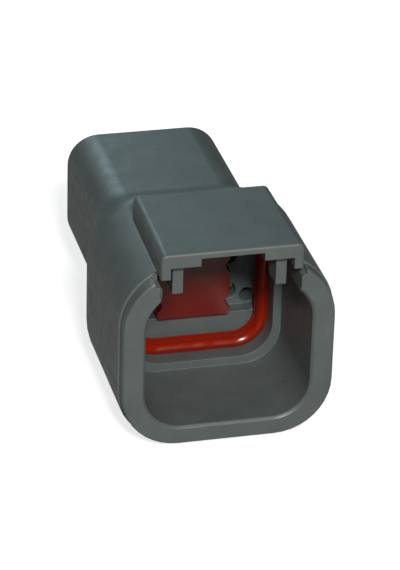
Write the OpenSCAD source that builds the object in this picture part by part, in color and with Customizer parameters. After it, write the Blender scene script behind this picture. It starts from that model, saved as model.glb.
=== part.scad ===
// Sealed rectangular 4-way connector half: hood with a latch guard, contact
// block, wedge lock, interface seal, socket contacts, wire seal and retainer.
// The mouth faces -Y, the wires leave towards +Y, and the hood stands on z = 0.

/* [Hood] */
// Outside width of the hood
hood_w = 20; // [19:0.5:24]
// Outside height of the hood without the latch guard
hood_h = 18; // [17:0.5:22]
// Length of the hood before it narrows
hood_l = 14.2; // [12.6:0.1:16]
// Thickness of the hood's side walls
hood_wall = 2.3; // [1.8:0.1:2.4]
// Thickness of the hood's floor
hood_floor = 2; // [1.6:0.1:2.4]
// Outer radius of the hood's lower corners
hood_low_r = 5.5; // [4.5:0.5:6]
// Outer radius of the hood's upper corners
hood_top_r = 6; // [5:0.5:6.5]
// Length of the rim, which is set in from the hood's sides
rim_l = 1.4; // [0.8:0.1:2]
// How far the rim is set in
rim_step = 0.2; // [0.1:0.05:0.3]
// Rounding of the rim's front edge
rim_r = 0.25; // [0.1:0.05:0.4]
// Lead-in chamfer inside the mouth
lead_in = 0.25; // [0.1:0.05:0.4]

/* [Latch guard] */
// Width of the guard over the latch channel
guard_w = 13.1; // [12.8:0.1:14]
// Length of the guard from its front edge
guard_l = 12.05; // [10.5:0.05:12.3]
// Height of the guard above the hood
guard_rise = 1.8; // [1.6:0.1:2.4]
// How far the guard stands out in front of the mouth
guard_overhang = 0.3; // [0.1:0.1:0.8]
// Thickness of the guard beside its thin middle
guard_t = 1.4; // [1.1:0.1:1.6]
// Thickness of the guard's thin middle
guard_mid_t = 0.65; // [0.5:0.05:0.9]
// Width of the guard's thin middle
guard_mid_w = 5.8; // [4.5:0.1:6.4]
// Thickness of the guard's two side walls
guard_wall = 0.9; // [0.7:0.1:1.1]
// Amount by which each side of the guard draws in towards the rear
guard_draft = 0.15; // [0:0.05:0.3]
// Rounding of the guard's long upper edges
guard_edge_r = 0.6; // [0.3:0.1:0.9]
// Width of the latch channel below the guard's side walls
channel_w = 12.8; // [12.2:0.1:13]
// How far the guard's side walls reach below the top of the hood
guard_leg = 0.7; // [0.5:0.1:1]
// Height of the notch under each side wall
notch_h = 0.85; // [0.6:0.05:1]
// Length of the notches
notch_l = 1.6; // [1:0.1:2.4]
// Width by which each notch widens the channel
notch_w = 0.55; // [0.3:0.05:0.7]

/* [Latch catches] */
// Width of each catch
catch_w = 1; // [0.8:0.1:1.4]
// Distance between the middles of the two catches
catch_pitch = 9.5; // [8.6:0.1:9.8]
// Length by which a catch hangs below the guard
catch_drop = 3.1; // [2:0.1:3.4]
// Length of a catch along the channel
catch_l = 2.4; // [1.5:0.1:4]
// Distance from the mouth to the catches
catch_setback = 0.8; // [0.5:0.1:2]

/* [Contact body] */
// Width of the rear body
body_w = 15.2; // [14.4:0.1:16]
// Height of the rear body
body_h = 11.8; // [11:0.1:13]
// Corner radius of the rear body
body_r = 3.1; // [2.5:0.1:3.6]
// Overall length from the mouth to the rear end
total_l = 36; // [35.5:0.5:42]
// Length of the sloping part between hood and rear body
flare_l = 9; // [7:0.5:12]

/* [Mating cavity] */
// Depth of the wide part of the cavity
mouth_depth = 10.3; // [9.8:0.1:10.6]
// Width of the step where the cavity narrows
ledge_w = 0.8; // [0.5:0.05:0.9]
// Length of the narrow part of the cavity
seat_l = 3.7; // [3.3:0.1:4.2]
// Corner radius of the narrow part
seat_r = 3.2; // [2.6:0.1:3.5]
// Depth of the pocket in the cavity's back wall
pocket_l = 1.4; // [1:0.1:1.8]
// Width of the pocket
pocket_w = 13.2; // [12.8:0.1:13.2]
// Height of the pocket
pocket_h = 6.8; // [6.8:0.1:7.6]
// Corner radius of the pocket
pocket_r = 1; // [0.5:0.1:1.5]
// Diameter of the holes that the pins enter by
entry_d = 1.4; // [1.3:0.1:1.6]
// Lead-in by which each pin hole widens at the face, each side
entry_lead = 0.15; // [0.05:0.05:0.25]
// Length of the pin holes
entry_l = 1; // [0.8:0.1:1.4]
// Diameter of the four core holes in the pocket's face
core_d = 1.4; // [1:0.1:1.6]
// Depth of the core holes
core_l = 3; // [1.5:0.5:4]
// Distance of the core holes from the pocket's side and lower or upper wall
core_inset = 0.95; // [0.9:0.05:1.2]

/* [Interface seal] */
// Length of the seal along the cavity
seal_l = 2.1; // [1.4:0.1:2.6]
// Thickness of the seal between its lips
seal_t = 0.8; // [0.6:0.05:0.9]
// Height of the seal's two lips
seal_lip = 0.22; // [0.1:0.02:0.3]
// Rounding of the seal's edges
seal_edge_r = 0.15; // [0.05:0.05:0.25]

/* [Contacts] */
// Distance between the two columns of contacts
column_pitch = 7.6; // [7.4:0.1:8]
// Distance between the two rows of contacts
row_pitch = 3.7; // [3.6:0.1:4]
// Diameter of the pin that a contact takes
pin_d = 1; // [0.8:0.1:1.1]
// Outer diameter of a contact's socket end
socket_d = 1.7; // [1.6:0.05:1.8]
// Length of a contact's socket end
socket_l = 3.4; // [3:0.1:3.6]
// Diameter of a contact's locking collar
collar_d = 2.5; // [2.3:0.1:2.6]
// Length of the locking collar
collar_l = 1.2; // [0.9:0.1:1.5]
// Outer diameter of the crimp barrel
barrel_d = 1.7; // [1.5:0.05:1.8]
// Bore of the crimp barrel
barrel_bore = 1.15; // [1:0.05:1.25]
// Depth of the crimp barrel's bore
crimp_l = 4.2; // [3:0.1:5]
// Distance from the contacts' ends to the wire seal
contact_gap = 0.7; // [0.3:0.1:1.2]
// Wall of the spring sleeve round a socket
sleeve_t = 0.12; // [0.1:0.02:0.16]

/* [Locking fingers] */
// Width of each finger
finger_w = 1.5; // [1.2:0.1:1.6]
// Thickness of each finger
finger_t = 0.5; // [0.4:0.05:0.6]
// Gap beside a finger in its window
finger_gap = 0.2; // [0.15:0.05:0.3]
// Length of the hook that holds a contact's collar
hook_l = 0.8; // [0.6:0.1:1]
// Wall between the fingers' roots and the wire seal
root_wall = 2; // [1.5:0.1:2.5]

/* [Wedge lock] */
// Width of the wedge lock's front block
wedge_w = 7; // [6.6:0.1:7.2]
// Height of the wedge lock's front block
wedge_h = 6.6; // [6.4:0.1:6.7]
// How far the wedge lock stands out of the pocket
wedge_proud = 0.6; // [0.3:0.1:0.9]
// Width of the slot between the locking fingers
slot_w = 3.5; // [3.2:0.1:3.6]
// Height of the slot between the locking fingers
slot_h = 5.6; // [5.4:0.1:5.8]
// Wall between the end of that slot and the wire seal
slot_wall = 2.9; // [2.2:0.1:3.4]
// Thickness of the wedge lock's two arms
arm_t = 0.8; // [0.6:0.1:1]
// Thickness of the web that joins the arms behind the block
web_t = 1.2; // [0.8:0.1:1.6]
// Corner radius of the front block
wedge_r = 0.3; // [0.1:0.1:0.6]

/* [Rear seal] */
// Length of the wire seal
wire_seal_l = 5.6; // [4.5:0.1:6]
// Depth of the grooves between the wire seal's ribs
rib_h = 0.35; // [0.2:0.05:0.45]
// Bore of the wire seal
wire_bore = 1.9; // [1.6:0.1:2.2]
// Thickness of the seal retainer
retainer_t = 1.8; // [1.4:0.1:2]
// Hole for each wire in the retainer
retainer_hole = 2.6; // [2.3:0.1:3]
// Wall of the rear body round the wire seal
rear_wall = 1.2; // [1:0.05:1.3]
// Distance from the retainer to the rear end
rear_inset = 0.5; // [0.3:0.1:1]
// Height of the retainer's two snap lugs
lug_h = 3; // [2:0.5:4]
// Length of the snap lugs
lug_l = 0.8; // [0.6:0.1:1]
// How far the snap lugs stand out
lug_out = 0.35; // [0.2:0.05:0.4]

/* [Hidden] */

corner_n = 10;                  // steps round each rounded corner
flare_n = 12;                   // steps along the sloping part
edge_n = 4;                     // steps round the front edges
lip_n = 16;                     // steps across the seal's two lips
rib_n = 24;                     // steps along the wire seal's ribs
over = 1;                       // how far a cut runs past an open face
running = 0.06;                 // gap of a sliding fit, each side
seat_gap = 0.05;                // gap between a seated piece and its wall
pin_gap = 0.02;                 // gap between a pin and its socket, each side
sleeve_gap = 0.01;              // gap between a socket and its sleeve, each side
end_gap = 0.5;                  // gap between the wedge lock's arms and the end of their slot
round_fn = 48;                  // facets of a round bore

front_y = -(total_l - guard_overhang) / 2;   // the mouth, with the origin at mid length
mid_z = hood_h / 2;                          // height of the contact block's middle
hood_hw = hood_w / 2;
body_hw = body_w / 2;
guard_top = hood_h + guard_rise;
guard_hw = guard_w / 2;
inner_top_r = hood_top_r - hood_wall;
inner_low_r = hood_low_r - hood_floor;
inner_hw = hood_hw - hood_wall;
inner_top = hood_h - hood_wall;
seat_hw = inner_hw - ledge_w;
seat_low = hood_floor + ledge_w;
seat_top = hood_h - seat_low;
back_y = mouth_depth + seat_l;               // the cavity's back wall
face_y = back_y + pocket_l;                  // the face with the contact holes
leg_bottom = hood_h - guard_leg;
rear_edge_r = 0.4;
step_r = 0.12;                               // rounding of the step behind the rim
tip_r = 0.3;                                 // rounding of the guard's front edges

retainer_y = total_l - rear_inset - retainer_t;
lug_y = retainer_y + (retainer_t - lug_l) / 2;
wire_seal_y = retainer_y - wire_seal_l;
rear_hw = body_hw - rear_wall;
rear_h = body_h - 2 * rear_wall;
rear_r = body_r - rear_wall;

socket_y = face_y + entry_l;                 // front end of each contact
socket_bore_d = socket_d + 2 * (sleeve_t + 2 * seat_gap);
collar_y = socket_y + socket_l;
cavity_d = collar_d + 4 * seat_gap;
contact_end = wire_seal_y - contact_gap;
finger_y = collar_y + collar_l + 2 * seat_gap;   // front of each finger, behind the collar
finger_root = wire_seal_y - root_wall;
slot_end = wire_seal_y - slot_wall;
columns = [-column_pitch / 2, column_pitch / 2];
rows = [mid_z - row_pitch / 2, mid_z + row_pitch / 2];
places = [for (z = rows) for (x = columns) [x, z]];
core_x = pocket_w / 2 - core_inset;
core_z = pocket_h / 2 - core_inset;
core_places = [for (z = [-core_z, core_z]) for (x = [-core_x, core_x]) [x, mid_z + z]];

// A closed outline in x and z: half width, bottom, top, lower and upper corner radius
function arc(x, z, r, a) =
    [for (i = [0:corner_n]) [x + r * cos(a + 90 * i / corner_n), z + r * sin(a + 90 * i / corner_n)]];
function outline(hw, low, top, low_r, top_r) =
    concat(arc(hw - low_r, low + low_r, low_r, -90),
           arc(hw - top_r, top - top_r, top_r, 0),
           arc(top_r - hw, top - top_r, top_r, 90),
           arc(low_r - hw, low + low_r, low_r, 180));

// The same outline drawn in by d all round and set at a distance y from the mouth
function loop(hw, low, top, low_r, top_r, d, y) =
    [for (p = outline(hw - d, low + d, top - d, low_r - d, top_r - d)) [p[0], y, p[1]]];

// A solid through a list of loops, closed by its ends or round into a ring
module skin(loops, ring = false) {
    n = len(loops[0]);
    m = len(loops);
    last = ring ? m - 1 : m - 2;
    sides = [for (j = [0:last]) for (i = [0:n - 1])
        let (a = j * n + i, b = j * n + (i + 1) % n,
             c = ((j + 1) % m) * n + (i + 1) % n, d = ((j + 1) % m) * n + i)
        each [[a, b, c], [a, c, d]]];
    ends = ring ? [] : [[for (i = [n - 1:-1:0]) i], [for (i = [0:n - 1]) (m - 1) * n + i]];
    polyhedron(points = [for (l = loops) each l], faces = concat(sides, ends), convexity = 6);
}

// A straight solid of a rounded outline from y0 to y1
module slab(hw, low, top, low_r, top_r, y0, y1) {
    translate([0, y1, 0])
        rotate([90, 0, 0])
            linear_extrude(y1 - y0)
                polygon(outline(hw, low, top, low_r, top_r));
}

// A slab of equal radii about the middle of the contact block
module block(w, h, r, y0, y1) {
    slab(w / 2, mid_z - h / 2, mid_z + h / 2, r, r, y0, y1);
}

// A round rod or bore along +Y at a place in x and z
module rod(place, d, y0, y1) {
    taper(place, d, d, y0, y1);
}

// A round rod or bore that changes from one diameter to another
module taper(place, d0, d1, y0, y1) {
    translate([place[0], y0, place[1]])
        rotate([-90, 0, 0])
            cylinder(d1 = d0, d2 = d1, h = y1 - y0, $fn = round_fn);
}

// A box between two corners
module span(low, high) {
    translate(low) cube(high - low);
}

// Everything is set out from the mouth, then moved to the part's own origin
module from_front() {
    translate([0, front_y, 0]) children();
}

function blend(t) = t * t * (3 - 2 * t);
function mix(a, b, t) = a + (b - a) * t;
function fillet_in(r, i, n) = r * (1 - sin(90 * i / n));
function fillet_y(r, i, n) = r * (1 - cos(90 * i / n));

// Outside of hood, slope and rear body in one smooth skin
module outer_body() {
    body_low = mid_z - body_h / 2;
    body_top = mid_z + body_h / 2;
    rim = [for (i = [0:edge_n]) [rim_step + fillet_in(rim_r, i, edge_n), fillet_y(rim_r, i, edge_n)]];
    step = [for (i = [0:edge_n]) [fillet_in(step_r, i, edge_n), rim_l + fillet_y(step_r, i, edge_n)]];
    hood_front = [for (p = concat(rim, [[rim_step, rim_l]], step))
        loop(hood_hw, 0, hood_h, hood_low_r, hood_top_r, p[0], p[1])];
    slope = [for (i = [0:flare_n]) let (t = i / flare_n, s = blend(t))
        loop(mix(hood_hw, body_hw, s), mix(0, body_low, s), mix(hood_h, body_top, s),
             mix(hood_low_r, body_r, s), mix(hood_top_r, body_r, s), 0, hood_l + flare_l * t)];
    rear = [for (i = [edge_n:-1:0])
        loop(body_hw, body_low, body_top, body_r, body_r,
             fillet_in(rear_edge_r, i, edge_n), total_l - fillet_y(rear_edge_r, i, edge_n))];
    skin(concat(hood_front, slope, rear));
}

// Outside of the latch guard
module outer_guard() {
    low = hood_h - hood_top_r / 2;
    front = -guard_overhang;
    tips = [for (i = [0:edge_n])
        loop(guard_hw, low, guard_top, guard_edge_r, guard_edge_r,
             fillet_in(tip_r, i, edge_n), front + fillet_y(tip_r, i, edge_n))];
    end = [loop(guard_hw - guard_draft, low, guard_top, guard_edge_r, guard_edge_r, 0,
                front + guard_l)];
    skin(concat(tips, end));
}

// Wide mouth with its lead-in, and the channel under the guard
module mouth_cut() {
    mouth = [[-over, -lead_in], [0, -lead_in], [lead_in, 0], [mouth_depth, 0]];
    skin([for (m = mouth) loop(inner_hw, hood_floor, inner_top, inner_low_r, inner_top_r, m[1], m[0])]);
    span([-channel_w / 2, -over, mid_z], [channel_w / 2, mouth_depth, leg_bottom]);
    span([guard_wall - guard_hw, -over, mid_z], [guard_hw - guard_wall, mouth_depth, guard_top - guard_t]);
    span([-guard_mid_w / 2, -over, mid_z], [guard_mid_w / 2, mouth_depth, guard_top - guard_mid_t]);
    span([-channel_w / 2 - notch_w, -over, leg_bottom - notch_h],
         [channel_w / 2 + notch_w, notch_l, leg_bottom]);
}

// Narrow seat of the seal, the pocket behind it and the slot of the wedge lock
module seat_cut() {
    slab(seat_hw, seat_low, seat_top, seat_r, seat_r, mouth_depth - over, back_y);
    block(pocket_w, pocket_h, pocket_r, back_y - over, face_y);
    span([-slot_w / 2, face_y - over, mid_z - slot_h / 2], [slot_w / 2, slot_end, mid_z + slot_h / 2]);
}

// Stepped cavity of one contact, open from the face to the wire seal
module contact_cavity(place) {
    taper(place, entry_d + 2 * entry_lead, entry_d, face_y, socket_y);
    rod(place, entry_d, face_y - over, face_y);
    rod(place, socket_bore_d, socket_y, collar_y + over);
    rod(place, cavity_d, collar_y, wire_seal_y + over);
}

// Window between a contact cavity and the slot, in which the locking finger bends
module finger_window(place) {
    side = sign(place[0]);
    inner = slot_w / 2 - over;
    outer = column_pitch / 2;
    translate([0, 0, place[1]])
        mirror([side < 0 ? 1 : 0, 0, 0])
            span([inner, collar_y, -finger_w / 2 - finger_gap],
                 [outer, finger_root, finger_w / 2 + finger_gap]);
}

// Locking finger with the hook that holds the contact's collar
module finger(place) {
    side = sign(place[0]);
    inner = slot_w / 2;
    hook_x = column_pitch / 2 - barrel_d / 2 - 3 * seat_gap;
    translate([0, 0, place[1]])
        mirror([side < 0 ? 1 : 0, 0, 0]) {
            span([inner, finger_y, -finger_w / 2], [inner + finger_t, finger_root + seat_gap, finger_w / 2]);
            span([inner, finger_y, -finger_w / 2], [hook_x, finger_y + hook_l, finger_w / 2]);
        }
}

// Snap lugs of the retainer, also cut as notches with a gap round them
module lugs(gap) {
    reach = rear_hw + lug_out + gap;
    span([-reach, lug_y - gap, mid_z - lug_h / 2 - gap],
         [reach, lug_y + lug_l + gap, mid_z + lug_h / 2 + gap]);
}

module housing() {
    color("slategray") from_front() {
        difference() {
            union() {
                outer_body();
                outer_guard();
            }
            mouth_cut();
            seat_cut();
            for (p = places) contact_cavity(p);
            for (p = core_places) rod(p, core_d, face_y - over, face_y + core_l);
            for (p = places) finger_window(p);
            block(2 * rear_hw, rear_h, rear_r, wire_seal_y, total_l + over);
            lugs(seat_gap);
        }
        for (p = places) finger(p);
        catches();
    }
}

// Two catches that hang from the guard and hold the mating latch
module catches() {
    top = guard_top - guard_t;
    for (s = [-1, 1])
        translate([s * catch_pitch / 2, catch_setback, 0])
            span([-catch_w / 2, 0, top - catch_drop], [catch_w / 2, catch_l, top + guard_t / 2]);
}

// Secondary lock: a block with two arms that keep the fingers from bending
module wedge_lock() {
    front = back_y - wedge_proud;
    arm_w = slot_w - 2 * running;
    arm_h = slot_h - 2 * running;
    arm_end = slot_end - end_gap;
    color("firebrick") from_front()
        difference() {
            union() {
                block(wedge_w, wedge_h, wedge_r, front, face_y);
                span([-arm_w / 2, face_y - over, mid_z - arm_h / 2], [arm_w / 2, arm_end, mid_z + arm_h / 2]);
            }
            span([arm_t - arm_w / 2, face_y + web_t, -over], [arm_w / 2 - arm_t, arm_end + over, guard_top]);
            for (p = places) rod(p, entry_d, front - over, face_y + over);
        }
}

// Ring seal with two rounded lips towards the mating nose
module interface_seal() {
    y0 = back_y - seal_l - seat_gap;
    inner = [for (i = [0:lip_n]) let (t = i / lip_n, ends = pow(abs(2 * t - 1), 8))
        [seal_t + seal_lip * (1 - cos(720 * t)) / 2 - 2 * seal_edge_r * ends, y0 + seal_l * t]];
    outer = [[seat_gap, y0 + seal_l - seal_edge_r], [seat_gap, y0 + seal_edge_r]];
    color("orangered") from_front()
        skin([for (p = concat(inner, outer))
            loop(seat_hw, seat_low, seat_top, seat_r, seat_r, p[0], p[1])], true);
}

// Rear seal: a ribbed block with one bore for each wire
module wire_seal() {
    color("orangered") from_front()
        difference() {
            skin([for (i = [0:rib_n]) let (t = i / rib_n)
                loop(rear_hw, mid_z - rear_h / 2, mid_z + rear_h / 2, rear_r, rear_r,
                     seat_gap + rib_h * (1 + cos(1080 * t)) / 2, wire_seal_y + wire_seal_l * t)]);
            for (p = places) rod(p, wire_bore, wire_seal_y - over, wire_seal_y + wire_seal_l + over);
        }
}

// Plate that snaps into the rear end and holds the wire seal
module seal_retainer() {
    color("dimgray") from_front()
        difference() {
            union() {
                block(2 * (rear_hw - seat_gap), rear_h - 2 * seat_gap, rear_r - seat_gap,
                      retainer_y, retainer_y + retainer_t);
                lugs(0);
            }
            for (p = places) rod(p, retainer_hole, retainer_y - over, retainer_y + retainer_t + over);
        }
}

// Turned socket contact: socket end, locking collar and crimp barrel
module contact(place) {
    color("gold") from_front()
        difference() {
            union() {
                rod(place, socket_d, socket_y, collar_y + over / 2);
                rod(place, collar_d, collar_y, collar_y + collar_l);
                rod(place, barrel_d, collar_y, contact_end);
            }
            rod(place, pin_d + 2 * pin_gap, socket_y - over, collar_y);
            rod(place, barrel_bore, contact_end - crimp_l, contact_end + over);
        }
}

// Thin spring sleeve pushed over the socket end of a contact
module contact_sleeve(place) {
    color("silver") from_front()
        difference() {
            rod(place, socket_d + 2 * (sleeve_t + sleeve_gap),
                socket_y + 2 * seat_gap, collar_y - 2 * seat_gap);
            rod(place, socket_d + 2 * sleeve_gap, socket_y, collar_y);
        }
}

module contact_1() { contact(places[0]); }
module contact_2() { contact(places[1]); }
module contact_3() { contact(places[2]); }
module contact_4() { contact(places[3]); }
module contact_sleeve_1() { contact_sleeve(places[0]); }
module contact_sleeve_2() { contact_sleeve(places[1]); }
module contact_sleeve_3() { contact_sleeve(places[2]); }
module contact_sleeve_4() { contact_sleeve(places[3]); }

housing();
wedge_lock();
interface_seal();
wire_seal();
seal_retainer();
contact_1();
contact_2();
contact_3();
contact_4();
contact_sleeve_1();
contact_sleeve_2();
contact_sleeve_3();
contact_sleeve_4();
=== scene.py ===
from math import cos, radians, sin

import bmesh
import bpy
from mathutils import Matrix, Vector


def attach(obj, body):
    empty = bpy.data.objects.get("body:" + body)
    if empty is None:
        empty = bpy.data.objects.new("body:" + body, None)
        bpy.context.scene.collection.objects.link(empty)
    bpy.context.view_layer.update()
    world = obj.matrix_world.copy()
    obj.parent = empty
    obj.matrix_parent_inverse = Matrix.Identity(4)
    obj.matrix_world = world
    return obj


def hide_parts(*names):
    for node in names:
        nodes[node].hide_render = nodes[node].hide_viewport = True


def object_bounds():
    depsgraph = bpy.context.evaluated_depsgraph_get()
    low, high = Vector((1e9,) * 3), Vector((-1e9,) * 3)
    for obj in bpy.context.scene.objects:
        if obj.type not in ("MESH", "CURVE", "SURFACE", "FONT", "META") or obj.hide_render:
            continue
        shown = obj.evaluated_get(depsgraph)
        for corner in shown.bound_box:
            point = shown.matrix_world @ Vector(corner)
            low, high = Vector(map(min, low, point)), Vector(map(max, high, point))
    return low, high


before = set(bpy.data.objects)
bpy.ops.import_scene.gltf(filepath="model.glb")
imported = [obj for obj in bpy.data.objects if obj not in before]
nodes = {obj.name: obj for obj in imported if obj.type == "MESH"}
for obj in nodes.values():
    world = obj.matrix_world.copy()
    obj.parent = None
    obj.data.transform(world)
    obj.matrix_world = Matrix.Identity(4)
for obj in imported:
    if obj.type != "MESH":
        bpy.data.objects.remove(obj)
cad_low, cad_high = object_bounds()
MM = 0.001

# View: a long lens looks down on the mouth from the front left, so that the
# hood, the guard and the red parts inside all show. It aims at the middle of
# the part's box, moved towards the mouth.
AZIMUTH, ELEVATION, ROLL = -14.6, 27.9, 1.65
DISTANCE = 275 * MM
LENS, SENSOR = 185.5, 36
NEAR_CLIP = 10 * MM
AIM = (cad_low + cad_high) / 2 + Vector((0.4, -5.07, -0.47)) * MM


def from_angles(azimuth, elevation):
    """Unit vector from the part towards a place at these angles; azimuth 0 is in front."""
    a, e = radians(azimuth), radians(elevation)
    return Vector((sin(a) * cos(e), -cos(a) * cos(e), sin(e)))


def place_at(obj, azimuth, elevation, distance, roll=0.0):
    """Adds a camera or a lamp at these angles and this distance from the aim, turned to it."""
    place = AIM + distance * from_angles(azimuth, elevation)
    turn = (AIM - place).to_track_quat("-Z", "Y").to_matrix().to_4x4()
    obj.matrix_world = Matrix.Translation(place) @ turn @ Matrix.Rotation(radians(roll), 4, "Z")
    bpy.context.scene.collection.objects.link(obj)


camera = bpy.data.objects.new("camera", bpy.data.cameras.new("camera"))
camera.data.lens = LENS
camera.data.sensor_width = SENSOR
camera.data.clip_start = NEAR_CLIP
place_at(camera, AZIMUTH, ELEVATION, DISTANCE, ROLL)
bpy.context.scene.camera = camera
bpy.context.scene.view_settings.view_transform = "Standard"

# Light: one warm softbox in front and above, which leaves the depth of the
# mouth in the guard's shadow, and two cooler sheets behind that draw the soft
# line along the shoulder and light the roof.
LAMP_DISTANCE = 400 * MM


def srgb(code):
    """Linear RGBA of an sRGB hex colour."""
    parts = [int(code[i:i + 2], 16) / 255 for i in (1, 3, 5)]
    linear = [p / 12.92 if p <= 0.04045 else ((p + 0.055) / 1.055) ** 2.4 for p in parts]
    return (*linear, 1.0)


def softbox(name, azimuth, elevation, width, height, watts, colour):
    """A rectangular lamp of this width and height in mm, turned to the part."""
    lamp = bpy.data.lights.new(name, "AREA")
    lamp.shape = "RECTANGLE"
    lamp.size = width * MM
    lamp.size_y = height * MM
    lamp.energy = watts
    lamp.color = srgb(colour)[:3]
    place_at(bpy.data.objects.new(name, lamp), azimuth, elevation, LAMP_DISTANCE)


softbox("key_softbox", azimuth=-7, elevation=36, width=50, height=50, watts=1.75, colour="#FFF9F2")
softbox("back_sheet", azimuth=180, elevation=24, width=120, height=80, watts=0.22, colour="#C6EDF6")
softbox("side_sheet", azimuth=-150, elevation=38, width=110, height=110, watts=0.16, colour="#E6F4F8")

# Room: a dim pale studio round the part, which gives its gloss something soft
# to show. Only the camera sees the room as white.
ROOM_LEVEL = 0.04


def add(tree, kind, sockets=None, **settings):
    """Adds a node, with its properties by keyword and its sockets by name or number.

    A socket gets a value, or is linked to another node's output.
    """
    node = tree.nodes.new(kind)
    for key, value in settings.items():
        setattr(node, key, value)
    for key, value in (sockets or {}).items():
        if isinstance(value, bpy.types.NodeSocket):
            tree.links.new(value, node.inputs[key])
        else:
            node.inputs[key].default_value = value
    return node


world = bpy.data.worlds.new("studio")
world.use_nodes = True
tree = world.node_tree
tree.nodes.clear()
seen = add(tree, "ShaderNodeLightPath")
room = add(tree, "ShaderNodeBackground", {"Color": srgb("#E8F2F6"), "Strength": ROOM_LEVEL})
white = add(tree, "ShaderNodeBackground", {"Color": srgb("#FFFFFF"), "Strength": 1.0})
mix = add(tree, "ShaderNodeMixShader", {
    "Fac": seen.outputs["Is Camera Ray"], 1: room.outputs[0], 2: white.outputs[0]})
add(tree, "ShaderNodeOutputWorld", {"Surface": mix.outputs[0]})
bpy.context.scene.world = world

# Floor: a matt pale board just under the part. A glow that only the camera
# sees lifts it to white further off, and less close to the part, so that the
# part's shadow stays on it.
BOARD_SIDE = 4000 * MM
BOARD_GAP = 0.1 * MM
DIMMER_WITHIN, WHITE_BEYOND = 20 * MM, 70 * MM
NEAR_GLOW, FAR_GLOW = 0.76, 1.0


def blank_material(name):
    """A new material with no nodes in it."""
    material = bpy.data.materials.new(name)
    material.use_nodes = True
    material.node_tree.nodes.clear()
    return material


board = blank_material("white_board")
tree = board.node_tree
seen = add(tree, "ShaderNodeLightPath")
place = add(tree, "ShaderNodeTexCoord")
away = add(tree, "ShaderNodeVectorMath", {0: place.outputs["Object"]}, operation="LENGTH")
level = add(tree, "ShaderNodeMapRange", {
    "Value": away.outputs["Value"],
    "From Min": DIMMER_WITHIN, "From Max": WHITE_BEYOND,
    "To Min": NEAR_GLOW, "To Max": FAR_GLOW}, interpolation_type="SMOOTHSTEP")
lift = add(tree, "ShaderNodeMath", {
    0: seen.outputs["Is Camera Ray"], 1: level.outputs[0]}, operation="MULTIPLY")
glow = add(tree, "ShaderNodeEmission", {"Color": srgb("#FFFFFF"), "Strength": lift.outputs[0]})
matt = add(tree, "ShaderNodeBsdfPrincipled", {"Base Color": srgb("#B2B2B0"), "Roughness": 0.9})
both = add(tree, "ShaderNodeAddShader", {0: matt.outputs[0], 1: glow.outputs[0]})
add(tree, "ShaderNodeOutputMaterial", {"Surface": both.outputs[0]})

bpy.ops.mesh.primitive_plane_add(size=BOARD_SIDE, location=(0, 0, cad_low[2] - BOARD_GAP))
floor = bpy.context.object
floor.name = "floor"
floor.data.materials.append(board)

# Housing: hood, guard, catches and contact block in one shot of glass-filled
# nylon. It has the even satin of a spark-eroded tool, with broken corners and
# a few specks of dirt. The grain, near 0.05 mm, is drawn coarser so it shows.
HARD_CORNER = 0.06 * MM


def moulded(name, colour, roughness, ior, clouding, grain, depth, dirt=0.0):
    """A moulded finish: clouded colour, uneven gloss, and a grain.

    clouding is the colour's spread, grain and depth are the size and the depth
    of the grain in mm, and dirt is how much the specks cover.
    """
    cloud_size, patch_size = 3.0, 1.1
    noise_low, noise_high = 0.3, 0.7
    gloss_spread = 0.06
    sink_depth = 0.01
    material = blank_material(name)
    tree = material.node_tree
    place = add(tree, "ShaderNodeTexCoord")
    mm = add(tree, "ShaderNodeVectorMath", {
        "Vector": place.outputs["Object"], "Scale": 1 / MM}, operation="SCALE")
    clouds = add(tree, "ShaderNodeTexNoise", {
        "Vector": mm.outputs[0], "Scale": 1 / cloud_size, "Detail": 4.0})
    tone = add(tree, "ShaderNodeMapRange", {
        "Value": clouds.outputs["Fac"], "From Min": noise_low, "From Max": noise_high,
        "To Min": 1 - clouding, "To Max": 1 + clouding})
    base = add(tree, "ShaderNodeHueSaturation", {"Color": srgb(colour), "Value": tone.outputs[0]})
    skin_colour = base.outputs[0]
    if dirt:
        # Cells of this spacing in mm, most of them clean, and a speck in each of
        # the others: full out to its core and gone at its edge. Sockets 6 and 7
        # are the two colours that are mixed, and output 2 is the result.
        spacing = 1.3
        core, edge = 0.078, 0.169
        share_clean = 0.82
        cells = add(tree, "ShaderNodeTexVoronoi", {"Vector": mm.outputs[0], "Scale": 1 / spacing})
        dot = add(tree, "ShaderNodeMapRange", {
            "Value": cells.outputs["Distance"], "From Min": core / spacing, "From Max": edge / spacing,
            "To Min": dirt, "To Max": 0.0})
        chosen = add(tree, "ShaderNodeMath", {
            0: cells.outputs["Color"], 1: share_clean}, operation="GREATER_THAN")
        cover = add(tree, "ShaderNodeMath", {0: dot.outputs[0], 1: chosen.outputs[0]}, operation="MULTIPLY")
        soiled = add(tree, "ShaderNodeMix", {
            "Factor": cover.outputs[0], 6: skin_colour, 7: srgb("#2A2B29")}, data_type="RGBA")
        skin_colour = soiled.outputs[2]
    patches = add(tree, "ShaderNodeTexNoise", {
        "Vector": mm.outputs[0], "Scale": 1 / patch_size, "Detail": 3.0})
    gloss = add(tree, "ShaderNodeMapRange", {
        "Value": patches.outputs["Fac"], "From Min": noise_low, "From Max": noise_high,
        "To Min": roughness - gloss_spread, "To Max": roughness + gloss_spread})
    sinks = add(tree, "ShaderNodeBump", {
        "Height": clouds.outputs["Fac"], "Strength": 1.0, "Distance": sink_depth * MM})
    grains = add(tree, "ShaderNodeTexNoise", {
        "Vector": mm.outputs[0], "Scale": 1 / grain, "Detail": 2.0})
    skin = add(tree, "ShaderNodeBump", {
        "Height": grains.outputs["Fac"], "Strength": 1.0, "Distance": depth * MM,
        "Normal": sinks.outputs[0]})
    shader = add(tree, "ShaderNodeBsdfPrincipled", {
        "Base Color": skin_colour, "Roughness": gloss.outputs[0], "IOR": ior,
        "Normal": skin.outputs[0]})
    add(tree, "ShaderNodeOutputMaterial", {"Surface": shader.outputs[0]})
    return material


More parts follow.
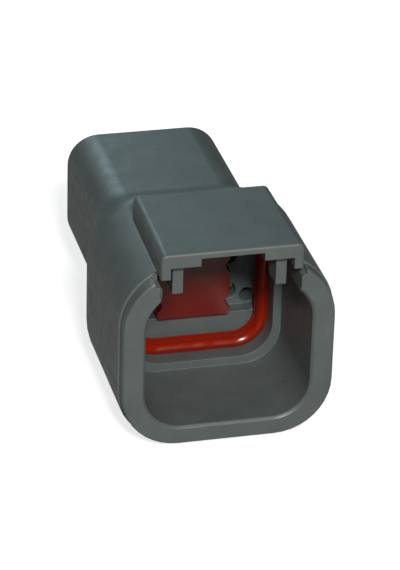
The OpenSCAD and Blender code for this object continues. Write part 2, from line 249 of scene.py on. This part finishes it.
def rounded(name, node, corner, material, body):
    """A copy of a CAD node, shaded smooth, with its sharp corners broken by this much."""
    weld = 0.002 * MM
    flat, sharp = radians(0.3), radians(40)
    form = bmesh.new()
    form.from_mesh(nodes[node].data)
    bmesh.ops.remove_doubles(form, verts=form.verts, dist=weld)
    bmesh.ops.dissolve_limit(form, angle_limit=flat, verts=form.verts, edges=form.edges)
    corners = [edge for edge in form.edges if edge.calc_face_angle(0) > sharp]
    bmesh.ops.bevel(form, geom=corners, offset=corner, segments=2, profile=0.5,
                    affect="EDGES", clamp_overlap=False)
    mesh = bpy.data.meshes.new(name)
    form.to_mesh(mesh)
    form.free()
    mesh.shade_smooth()
    mesh.materials.append(material)
    piece = bpy.data.objects.new(name, mesh)
    bpy.context.scene.collection.objects.link(piece)
    even = piece.modifiers.new("even_shading", "WEIGHTED_NORMAL")
    even.keep_sharp = False
    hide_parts(node)
    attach(piece, body)


nylon = moulded("satin_gray_nylon", "#4F5859", roughness=0.46, ior=1.53,
                clouding=0.09, grain=0.14, depth=0.005, dirt=0.8)
rounded("housing_shell", "housing", HARD_CORNER, nylon, body="shell")

# Wedge lock: the red block in the pocket, with its two arms between the
# locking fingers. Unfilled polyester gives it a smoother, deeper red; it
# slides in along the cavity and can be drawn out again.
polyester = moulded("red_polyester", "#5E0E06", roughness=0.22, ior=1.55,
                    clouding=0.08, grain=0.3, depth=0.0015)
rounded("wedge_lock_block", "wedge_lock", HARD_CORNER, polyester, body="wedge")

# Interface seal: a ring of soft silicone with two lips, stretched into its
# seat. Oil bleeds to its skin, so it is glossier and more orange than the lock.
SOFT_CORNER = 0.03 * MM
silicone = moulded("orange_silicone", "#7C1703", roughness=0.2, ior=1.41,
                   clouding=0.05, grain=0.4, depth=0.002)
rounded("interface_seal_ring", "interface_seal", SOFT_CORNER, silicone, body="shell")

# Wire seal: the same silicone in a ribbed block, with one bore for each wire,
# pressed into the rear end.
rounded("wire_seal_block", "wire_seal", SOFT_CORNER, silicone, body="shell")

# Seal retainer: a plate of the housing's nylon from another tool, a shade
# darker, which snaps in behind the wire seal.
dark_nylon = moulded("dark_gray_nylon", "#454C4D", roughness=0.5, ior=1.53,
                     clouding=0.06, grain=0.13, depth=0.003)
rounded("seal_retainer_plate", "seal_retainer", HARD_CORNER, dark_nylon,
        body="shell")

# Contacts: turned brass with a thin pale plating. The tool's marks run round
# the barrel, 0.05 mm apart, and make its shine a little cloudy.
CONTACTS = (1, 2, 3, 4)


def bare_metal(name, colour, roughness, spacing):
    """A bare metal with fine marks, spaced by these lengths in mm along x, y and z."""
    darkest, lightest = 0.88, 1.08
    gloss_spread = 0.08
    mark_depth = 0.001
    material = blank_material(name)
    tree = material.node_tree
    place = add(tree, "ShaderNodeTexCoord")
    lines = add(tree, "ShaderNodeVectorMath", {
        0: place.outputs["Object"], 1: tuple(1 / (MM * step) for step in spacing)}, operation="MULTIPLY")
    marks = add(tree, "ShaderNodeTexNoise", {"Vector": lines.outputs[0], "Scale": 1.0, "Detail": 3.0})
    tone = add(tree, "ShaderNodeMapRange", {
        "Value": marks.outputs["Fac"], "To Min": darkest, "To Max": lightest})
    base = add(tree, "ShaderNodeHueSaturation", {"Color": srgb(colour), "Value": tone.outputs[0]})
    gloss = add(tree, "ShaderNodeMapRange", {
        "Value": marks.outputs["Fac"],
        "To Min": roughness - gloss_spread, "To Max": roughness + gloss_spread})
    ridges = add(tree, "ShaderNodeBump", {
        "Height": marks.outputs["Fac"], "Strength": 1.0, "Distance": mark_depth * MM})
    shader = add(tree, "ShaderNodeBsdfPrincipled", {
        "Base Color": base.outputs[0], "Metallic": 1.0, "Roughness": gloss.outputs[0],
        "Normal": ridges.outputs[0]})
    add(tree, "ShaderNodeOutputMaterial", {"Surface": shader.outputs[0]})
    return material


def dress(node, material):
    """Gives a CAD node, which keeps its own shape, this material."""
    nodes[node].data.materials.clear()
    nodes[node].data.materials.append(material)


# The plating's colour is set darker than clean plating, as painted shade for the deep holes that the
# contacts sit in.
shade_darkened_plating = bare_metal("shade_darkened_brass", "#A89F8B", roughness=0.28, spacing=(2.0, 0.05, 2.0))
for number in CONTACTS:
    dress(f"contact_{number}", shade_darkened_plating)

# Contact sleeves: thin steel drawn into a tube and pushed over each socket.
# The drawing leaves fine lines along the tube.
steel = bare_metal("drawn_steel", "#B9BABA", roughness=0.3, spacing=(0.06, 3.0, 0.06))
for number in CONTACTS:
    dress(f"contact_sleeve_{number}", steel)
